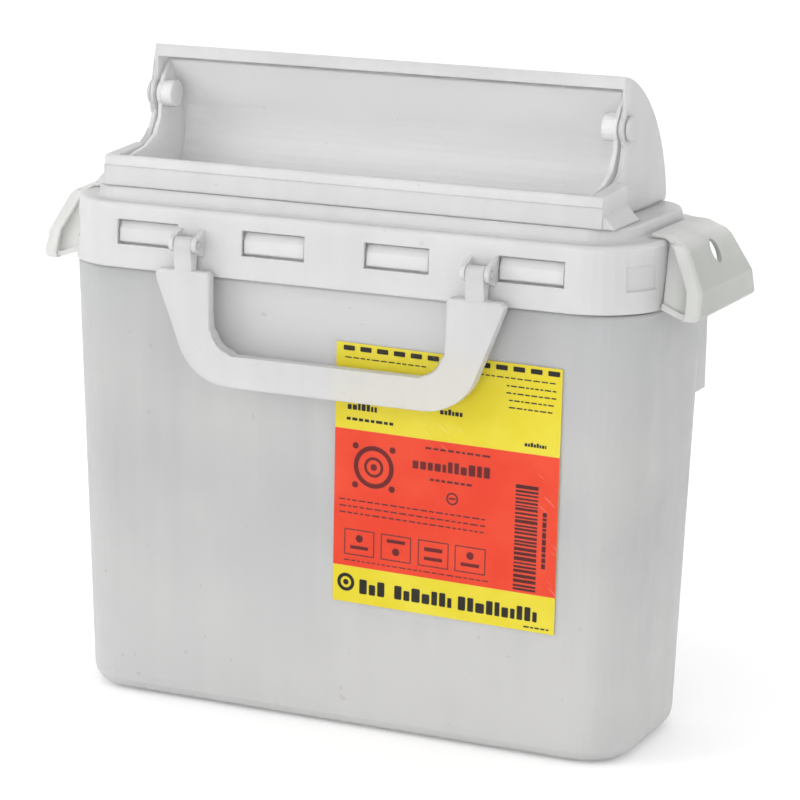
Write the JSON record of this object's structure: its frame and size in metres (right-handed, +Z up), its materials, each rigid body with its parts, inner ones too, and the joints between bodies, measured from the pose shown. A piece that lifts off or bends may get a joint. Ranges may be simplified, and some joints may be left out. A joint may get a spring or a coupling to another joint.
{
  "type": "sharps container",
  "caption": "Tall narrow disposal tub with a clip-down lid, a front-opening hood with a counterbalanced tipping tray, a hanging handle, bracket wings and a front label.",
  "frame": {"origin": "middle of the tub's flat base", "axes": "+X to the right of the front face, +Y towards the wall side, +Z up"},
  "size_m": [0.3112, 0.1179, 0.291],
  "materials": {
    "pearl_polypropylene": "translucent natural polypropylene, fine satin",
    "white_polypropylene": "milky translucent polypropylene, satin",
    "hood_polypropylene": "milky translucent polypropylene, semi-gloss",
    "door_polypropylene": "milky polypropylene, satin",
    "wing_polypropylene": "milky polypropylene, satin",
    "handle_polypropylene": "white polypropylene, satin",
    "pin_polypropylene": "moulded pin, smooth",
    "rod_steel": "drawn steel rod",
    "label_paper": "printed film label in yellow and orange-red"
  },
  "bodies": {
    "container": {"container_body": "pearl_polypropylene", "lid_collar": "white_polypropylene", "hood": "hood_polypropylene", "bracket_wing_left": "wing_polypropylene", "bracket_wing_right": "wing_polypropylene", "front_label": "label_paper", "door_pin_left": "pin_polypropylene", "door_pin_right": "pin_polypropylene", "handle_pin_left": "pin_polypropylene", "handle_pin_right": "pin_polypropylene"},
    "door": {"door_tray": "door_polypropylene", "balance_rod": "rod_steel"},
    "handle": {"carry_handle": "handle_polypropylene"}
  },
  "joints": [
    {"name": "door_tip", "type": "hinge", "parent": "container", "child": "door", "pos_m": [0, -0.004, 0.269], "axis": [1, 0, 0], "range_deg": [0, 45]},
    {"name": "handle_swing", "type": "hinge", "parent": "container", "child": "handle", "pos_m": [0, -0.0587, 0.212], "axis": [-1, 0, 0], "range_deg": [-5, 175]}
  ]
}
